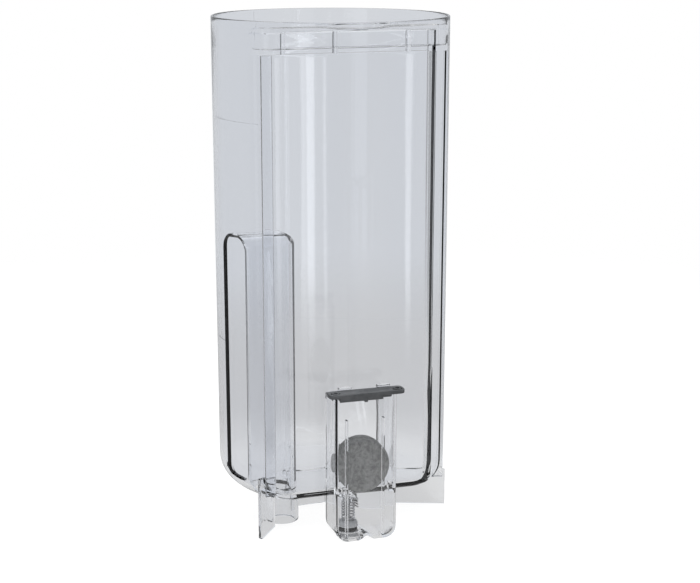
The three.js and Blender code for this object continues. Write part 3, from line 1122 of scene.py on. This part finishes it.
@dataclass
class Chamber:
    """The clear float chamber and sump in front of the panel, with its guide ribs and snap hooks."""

    x: Span = (-14, 18)
    front: float = -53.5
    back: float = -34.8
    top: float = 75.7
    roof: float = 74
    wall: float = 1.3
    corner: float = 1.8
    bottom_round: float = 7
    vee_depth: float = 2.2
    vee_half: float = 3.4
    mouth_back: float = -46.9
    hook_y: float = -46.5
    rib_top: float = 63.5
    rib_depth: float = 2.2
    rib_width: float = 1.0
    front_ribs: tuple[float, float] = (-8, 11.2)
    hook_centres: tuple[float, float] = (-7.5, 12.7)
    hook_width: float = 6.8
    hook_top: float = 79.4
    window_x: Span = (-10, 14)
    window_z: Span = (22.5, 70)
    shelf_top: float = 28.4
    shelf_reach: float = 2.6
    bore_centre: Span = (-4.5, -43.5)
    bore: float = 5.3
    collar_wall: float = 1.2
    collar_z: Span = (0.2, 3.2)

    def front_outline(self, inset: float, top: float) -> Plan:
        """Outlines the chamber from in front, with round bottom corners and a notch between its two lobes.

        Args:
            inset: How far inside the outer face.
            top: Height of the open end.

        Returns:
            X and Z of each corner.
        """
        left, right, bottom = self.x[0] + inset, self.x[1] - inset, inset
        around = self.bottom_round - inset
        middle = sum(self.x) / 2
        outline = arc((left + around, bottom + around), around, 180, 270, 10)
        outline += [(middle - self.vee_half - 1.2, bottom), (middle - self.vee_half, bottom + 0.25),
                    (middle - 0.7, bottom + self.vee_depth - 0.2), (middle, bottom + self.vee_depth),
                    (middle + 0.7, bottom + self.vee_depth - 0.2), (middle + self.vee_half, bottom + 0.25),
                    (middle + self.vee_half + 1.2, bottom)]
        outline += arc((right - around, bottom + around), around, 270, 360, 10)
        return [*outline, (right, top), (left, top)]

    def block(self, name: str, inset: float, back: float, top: float) -> Solid:
        """Makes the chamber's outside, or its hollow.

        Args:
            name: The object's name.
            inset: How far inside the outer face.
            back: Y of its back.
            top: Its top.

        Returns:
            The solid.
        """
        outline = self.front_outline(inset, top)
        body = skin(name, [[(px, y, pz) for px, pz in outline] for y in (self.front + inset, back)])
        plan = rounded_plan((self.x[0] + inset, self.x[1] - inset), (self.front + inset, back + 20),
                            max(0.5, self.corner - inset), 8)
        combine(body, prism("plan", plan, (-5, top + 5)), Join.KEEP)
        return body

    def build(self, material: bpy.types.Material) -> Solid:
        """Makes the chamber.

        Args:
            material: Its clear plastic.

        Returns:
            The piece.
        """
        obj = self.block("float_chamber_and_sump", 0, self.back, self.top)
        soften(obj, 0.5, 3, 50)
        across, behind_mouth = (-30, 30), (self.mouth_back, self.back + 1)
        combine(obj, rounded_block("step", across, behind_mouth, (self.roof, self.top + 1), 0.1), Join.CUT)
        hollow = self.block("hollow", self.wall, self.back - self.wall, self.top + 1)
        combine(hollow, rounded_block("roof", across, behind_mouth, (self.roof - self.wall, self.top + 5), 0.1),
                Join.CUT)
        combine(obj, hollow, Join.CUT)
        window = rounded_block("window", self.window_x, (self.back - 3, self.back + 3), self.window_z, 0.1)
        combine(obj, window, Join.CUT)
        face = self.front + self.wall
        height = self.rib_top - self.wall - 0.5
        first = (self.front_ribs[0], face + self.rib_depth / 2 - 0.4, self.wall + 0.5 + height / 2)
        ribs = row_of_blades("ribs", first, (self.front_ribs[1] - self.front_ribs[0], 0, 0), 2,
                             (self.rib_width, self.rib_depth + 0.8, height), material)
        combine(obj, ribs, Join.ADD)
        for left, right in ((self.x[0] + 1, self.x[0] + self.wall + self.shelf_reach),
                            (self.x[1] - self.wall - self.shelf_reach, self.x[1] - 1)):
            shelf = rounded_block("shelf", (left, right), (self.front + 1, face + 4.2),
                                  (self.shelf_top - 4, self.shelf_top), 0.4, 0.5, steps=3)
            combine(obj, shelf, Join.ADD)
        for x in self.hook_centres:
            span = (x - self.hook_width / 2, x + self.hook_width / 2)
            post = rounded_block("post", span, (self.hook_y, self.hook_y + 1), (self.roof - 1, self.hook_top),
                                 0.45, 0.4, steps=3)
            nose = rounded_block("nose", span, (self.hook_y - 1.5, self.hook_y + 0.9),
                                 (self.hook_top - 1.1, self.hook_top), 0.5, 0.3, 0.3, 3)
            combine(obj, combine(post, nose, Join.ADD), Join.ADD)
        rim, low, high = self.bore + self.collar_wall, *self.collar_z
        collar = turned("collar", [(0, low), (rim, low), (rim, high), (0, high)], self.bore_centre, 64)
        combine(obj, collar, Join.ADD)
        bore = turned("bore", [(0, -1), (self.bore, -1), (self.bore, 4), (0, 4)], self.bore_centre, 64)
        combine(obj, bore, Join.CUT)
        return dress(shade(obj), material, "tank", "float_chamber")


@dataclass
class Cap:
    """The charcoal cap: an oblong plate with round ends, a front tab and a locating rim."""

    x: Span = (-17.5, 22)
    y: Span = (-55.2, -46.8)
    bottom: float = 76
    thick: float = 2
    corner: float = 2.8
    tab_x: Span = (-12.5, 10.1)
    tab_drop: float = 1.9
    tab_thick: float = 1.4
    plug_x: Span = (-11.9, 15.9)
    plug_y: Span = (-51.4, -47.2)
    plug_wall: float = 1.4
    nub_x: float = 1.2
    hole_radius: float = 1.2
    hole_inset: float = 3.6

    def build(self, material: bpy.types.Material) -> Solid:
        """Makes the cap.

        Args:
            material: Its charcoal plastic.

        Returns:
            The piece.
        """
        top = self.bottom + self.thick
        obj = rounded_block("chamber_cap_cover", self.x, self.y, (self.bottom, top), self.corner, 0.35, 0.25, 6)
        tab_y, tab_bottom = (self.y[0], self.y[0] + self.tab_thick), self.bottom - self.tab_drop
        tab = rounded_block("tab", self.tab_x, tab_y, (tab_bottom, self.bottom + 1), 0.3, 0, 0.25, 3)
        nub = rounded_block("nub", (self.nub_x - 0.9, self.nub_x + 0.9), tab_y, (tab_bottom - 0.8, self.bottom),
                            0.4, 0, 0.3, 3)
        combine(obj, combine(tab, nub, Join.ADD), Join.ADD)
        plug = rounded_block("plug", self.plug_x, self.plug_y, (self.bottom - 2.2, self.bottom + 0.5),
                             1.2, 0, 0.3, 4)
        core = rounded_block("core", *((low + self.plug_wall, high - self.plug_wall)
                                       for low, high in (self.plug_x, self.plug_y)),
                             (self.bottom - 3, self.bottom), 0.6)
        combine(obj, combine(plug, core, Join.CUT), Join.ADD)
        middle = sum(self.y) / 2 - 1
        for x in (self.x[0] + self.hole_inset, self.x[1] - self.hole_inset):
            for name, profile, sides, how in (
                    ("dish", [(0, -0.5), (2.4, -0.5), (2.7, 1), (0, 1)], 32, Join.CUT),
                    ("pin", [(0, -0.7), (1.9, -0.7), (1.9, 0.1), (1.6, 0.35), (0, 0.35)], 32, Join.ADD),
                    ("hole", [(0, -3), (self.hole_radius, -3), (self.hole_radius, 1), (0, 1)], 24, Join.CUT)):
                above = [(radius, top + height) for radius, height in profile]
                combine(obj, turned(name, above, (x, middle), sides), how)
        return dress(shade(obj), material, "tank", "chamber_cap")


@dataclass
class Float:
    """The disc float: two cups joined round a magnet, lying with its faces forwards and backwards."""

    centre: Point = (2, -43.7, 37.5)
    radius: float = 13.75
    thick: float = 9
    wall: float = 1.5
    seam: float = 0.3
    edge: float = 1.1
    dish: float = 0.25

    def cup(self, name: str, facing: int) -> Solid:
        """Makes one cup.

        Args:
            name: The object's name.
            facing: -1 for the front cup and 1 for the rear one.

        Returns:
            The cup.
        """
        face, mouth = self.thick / 2, self.seam / 2
        inner, lining = self.radius - self.wall, face - self.wall - 0.3
        profile = [(0, face - self.dish), (4, face - self.dish), (self.radius - 4, face - 0.08),
                   (self.radius - 2.4, face),
                   *arc((self.radius - self.edge, face - self.edge), self.edge, 90, 0, 6),
                   (self.radius, mouth + 0.4), (self.radius - 0.35, mouth), (inner, mouth),
                   (inner, lining - 0.3), (inner - 0.6, lining), (0, lining)]
        turn = Matrix.Rotation(math.radians(90) * -facing, 4, "X")
        return shade(turned(name, profile, sides=96, place=Matrix.Translation(self.centre) @ turn), 40)

    def build(self, material: bpy.types.Material) -> list[Solid]:
        """Makes both cups.

        Args:
            material: Their mottled plastic.

        Returns:
            The pieces.
        """
        return [dress(self.cup(f"float_{end}_cup", facing), material, "float",
                      f"float_{end}_shell") for end, facing in (("front", -1), ("rear", 1))]


@dataclass
class Valve:
    """The outlet valve: seat bush, seals, poppet, spring and the bar that guides its stem."""

    centre: Span = (-4.5, -43.5)
    seat_radius: float = 5
    seat_bore: float = 2.6
    counterbore: float = 3.8
    seat_top: float = 3.2
    step: float = 1.9
    spring_z: Span = (9.4, 18.9)
    spring_radius: float = 3.1
    wire: float = 0.36
    turns: float = 6.5
    guide_z: Span = (19.6, 21.4)
    guide_half: float = 3.4
    guide_y: Span = (-49.2, -36.9)
    guide_bore: float = 1.45
    spigot_seal: tuple[float, float, Span] = (2.3, 3.5, (0.3, 1.6))
    poppet_seal: tuple[float, float, Span] = (1.9, 4.5, (3.5, 5))

    def seat(self) -> Solid:
        """Makes the seat bush."""
        profile = [(self.seat_bore, self.step), (self.counterbore, self.step), (self.counterbore, 0.3),
                   (self.counterbore + 0.3, 0), (self.seat_radius - 0.3, 0), (self.seat_radius, 0.3),
                   (self.seat_radius, self.seat_top - 0.3), (self.seat_radius - 0.3, self.seat_top),
                   (self.seat_bore + 0.5, self.seat_top), (self.seat_bore, self.seat_top - 0.5)]
        return shade(turned("outlet_seat_bush", profile, self.centre, 64))

    def seal(self, name: str, inner: float, outer: float, z: Span) -> Solid:
        """Makes a round-sided rubber ring.

        Args:
            name: The object's name.
            inner: Inner radius.
            outer: Outer radius.
            z: Bottom and top.

        Returns:
            The ring.
        """
        wide, tall = (outer - inner) / 2, (z[1] - z[0]) / 2
        turn = [math.tau * i / 16 for i in range(16)]
        profile = [(inner + wide + wide * math.copysign(abs(math.cos(t)) ** 0.75, math.cos(t)),
                    z[0] + tall + tall * math.copysign(abs(math.sin(t)) ** 0.75, math.sin(t))) for t in turn]
        return shade(turned(name, profile, self.centre, 56), 60)

    def poppet(self) -> Solid:
        """Makes the poppet and its stem."""
        profile = [(0, 0.8), (1.1, 0.8), (1.6, 1.3), (1.6, 5.3), (4.4, 5.3), (4.7, 5.6), (4.7, 7.4), (4.3, 8.2),
                   (3.7, 8.7), (1.9, 8.7), (1.4, 9.0), (1.1, 9.6), (1.1, 21.3), (0.7, 21.9), (0, 21.9)]
        return shade(turned("outlet_poppet", profile, self.centre, 48))

    def guide(self) -> Solid:
        """Makes the guide bar."""
        x = self.centre[0]
        low, high = self.guide_z
        bar = rounded_block("stem_guide_bar", (x - self.guide_half, x + self.guide_half), self.guide_y,
                            self.guide_z, 0.6, 0.3, 0.3, 4)
        boss = turned("boss", [(0, low), (2.6, low), (2.6, high + 0.3), (2.4, high + 0.5), (0, high + 0.5)],
                      self.centre, 40)
        combine(bar, boss, Join.ADD)
        bore = turned("bore", [(0, 15), (self.guide_bore, 15), (self.guide_bore, 25), (0, 25)], self.centre, 32)
        return shade(combine(bar, bore, Join.CUT))

    def build(self, grey: bpy.types.Material, rubber: bpy.types.Material, wire: bpy.types.Material,
              clear: bpy.types.Material) -> list[Solid]:
        """Makes the valve's pieces.

        Args:
            grey: Plastic of the seat and poppet.
            rubber: Rubber of the seals.
            wire: Steel of the spring.
            clear: Clear plastic of the guide.

        Returns:
            The pieces.
        """
        spring = coil("outlet_spring", self.centre, self.spring_z, self.spring_radius, self.wire, self.turns,
                      wire)
        pieces = [
            dress(self.seat(), grey, "tank", "valve_seat"),
            dress(self.seal("spigot_o_ring", *self.spigot_seal), rubber, "tank",
                  "outlet_o_ring"),
            dress(self.seal("poppet_seal_ring", *self.poppet_seal), rubber, "valve",
                  "poppet_seal"),
            dress(self.poppet(), grey, "valve", "valve_poppet"),
            dress(spring, wire, "tank", "valve_spring"),
            dress(self.guide(), clear, "tank", "valve_guide"),
        ]
        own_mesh(spring)
        return pieces


# --------------------------------------------------------------------------------------------------
# Studio
# --------------------------------------------------------------------------------------------------


@dataclass
class Studio:
    """Pale floor, soft light and the camera."""

    camera_turn: float = -17.14
    camera_distance: float = 837
    camera_height: float = 312
    tilt: float = 13.08
    swing: float = -0.67
    lens: float = 84.86
    floor_radius: float = 0.75
    backdrop: float = 1.0
    back_level: float = 0.74
    side_level: float = 0.53
    zenith_gain: float = 0.35
    cast: Colour = (0.935, 0.96, 1.0)
    strips: tuple[tuple[float, float, float], ...] = (
        (163.66, 0.25, 3.0), (160.13, 0.1, 2.5), (163.05, 0.04, 2.0), (165.0, 0.35, 2.0), (171.5, 8.5, 0.3),
        (-137.3, 12, 0.8))
    lamp_place: Point = (0.0, -0.35, 1.6)
    lamp_aim: Point = (0, -0.2, 0.1)
    lamp_size: Span = (0.9, 0.9)
    lamp_power: float = 30
    # Painted glow of the floor, seen only through the tank: its far and near levels, and the span in metres
    # over which it goes from the near level to the far one.
    floor_far_painted_glow: Colour = (0.41, 0.41, 0.415)
    floor_near_painted_glow: Colour = (0.6, 0.6, 0.6)
    floor_backdrop: Colour = (0.95, 0.95, 0.95)
    floor_painted_pool_span: Span = (0.2, 0.09)

    def camera(self) -> None:
        """Places the camera left of the front and a little above the rim."""
        data = bpy.data.cameras.new("camera")
        data.lens, data.sensor_width = self.lens, 36
        data.clip_start, data.clip_end = 0.02, 100
        obj = bpy.data.objects.new("camera", data)
        bpy.context.collection.objects.link(obj)
        turn = math.radians(self.camera_turn)
        obj.location = Vector((math.sin(turn) * self.camera_distance, -math.cos(turn) * self.camera_distance,
                               self.camera_height)) * MM
        obj.rotation_euler = (math.radians(90 - self.tilt), 0, math.radians(self.camera_turn + self.swing))
        bpy.context.scene.camera = obj

    def world(self) -> None:
        """Lights the tank from all round: pale behind it, darker in front, with narrow strip lights."""
        world = bpy.data.worlds.new("studio")
        bpy.context.scene.world = world
        world.use_nodes = True
        world.node_tree.nodes.clear()
        sky = ShaderTree(world.node_tree)
        direction = sky.node("ShaderNodeTexCoord", output="Generated")
        x, y, z = (sky.node("ShaderNodeSeparateXYZ", {}, {0: direction}, axis) for axis in "XYZ")
        around = sky.maths("ARCTAN2", x, y)
        turned_away = sky.maths("COSINE", around + math.radians(self.camera_turn))
        level = turned_away * (self.back_level - self.side_level) + self.side_level
        level = level + sky.maths("MAXIMUM", z, 0) * self.zenith_gain
        for middle, half, strength in self.strips:
            inside = abs(around - math.radians(middle)) < math.radians(half)
            level = level + inside * strength
        grey = sky.node("ShaderNodeBackground", {}, {"Color": (*self.cast, 1), "Strength": level})
        white = sky.node("ShaderNodeBackground", {}, {"Color": (1, 1, 1, 1), "Strength": self.backdrop})
        seen = sky.node("ShaderNodeLightPath", output="Is Camera Ray")
        both = sky.node("ShaderNodeMixShader", {}, {0: seen, 1: grey, 2: white})
        output = world.node_tree.nodes.new("ShaderNodeOutputWorld")
        sky.feed(output.inputs[0], both)

    def softbox(self) -> None:
        """Hangs the softbox over the tank, a little in front of it."""
        data = bpy.data.lights.new("top_softbox", "AREA")
        data.shape, data.size, data.size_y, data.energy = "RECTANGLE", *self.lamp_size, self.lamp_power
        obj = bpy.data.objects.new("top_softbox", data)
        obj.location = self.lamp_place
        obj.rotation_euler = (Vector(self.lamp_aim) - obj.location).to_track_quat("-Z", "Y").to_euler()
        obj.visible_glossy = obj.visible_transmission = False
        bpy.context.collection.objects.link(obj)

    def floor(self) -> None:
        """Makes the pale floor, which fades into the backdrop at its edge. It glows evenly white to the camera;
        to every other ray it glows grey with a painted pool of light, paler near the tank and darker farther
        out.
        """
        sides, shares = 96, (0.3, 0.6, 0.9, 1.0)
        points = [(x * MM, y * MM, 0.0) for share in shares
                  for x, y in arc((0, 0), self.floor_radius / MM * share, 0, 360, sides)[:-1]]
        faces = [(row * sides + i, row * sides + (i + 1) % sides, (row + 1) * sides + (i + 1) % sides,
                  (row + 1) * sides + i) for row in range(len(shares) - 1) for i in range(sides)]
        mesh = bpy.data.meshes.new("floor")
        mesh.from_pydata(points, [], [*faces, tuple(range(sides))])
        obj = bpy.data.objects.new("floor", mesh)
        bpy.context.collection.objects.link(obj)
        finish = Finish("pale_floor")
        away = finish.node("ShaderNodeVectorMath", {"operation": "LENGTH"}, {0: finish.position}, 1)
        seen = finish.node("ShaderNodeLightPath", output="Is Camera Ray")
        # Painted pool of light: the floor's glow is paler within 0.09 m of the tank and darker beyond 0.2 m, in
        # every ray but the camera's.
        painted_floor_glow = finish.blend(away.eased(*self.floor_painted_pool_span), self.floor_far_painted_glow, self.floor_near_painted_glow)
        finish.set(Base_Color=(0.12, 0.12, 0.12, 1), Roughness=0.9, Specular_IOR_Level=0.0,
                   Emission_Color=finish.blend(seen, painted_floor_glow, self.floor_backdrop), Emission_Strength=1.0,
                   Alpha=away.eased(self.floor_radius * 0.95, self.floor_radius * 0.35))
        mesh.materials.append(finish.material)

    def build(self) -> None:
        """Sets up the whole studio."""
        self.camera()
        self.world()
        self.softbox()
        self.floor()
        bpy.context.scene.view_settings.view_transform = "Standard"


def main() -> None:
    """Builds the tank's pieces in order."""
    logging.basicConfig(level=logging.INFO)
    Studio().build()
    clear = ClearPlastic("clear_vessel_plastic").build()
    clear_chamber = ClearPlastic("clear_chamber_plastic", (0.975, 0.978, 0.985), (0.955, 0.96, 0.97)).build()
    Vessel().build(clear)
    Chamber().build(clear_chamber)
    Cap().build(CHARCOAL.build())
    Float().build(MottledFloat().build())
    Valve().build(NATURAL_GREY.build(), SEAL_RUBBER.build(), SPRING_WIRE.build(), clear_chamber)
    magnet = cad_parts["float_magnet"]
    magnet.data.materials.clear()
    magnet.data.materials.append(FERRITE.build())


if __name__ == "__main__":
    main()
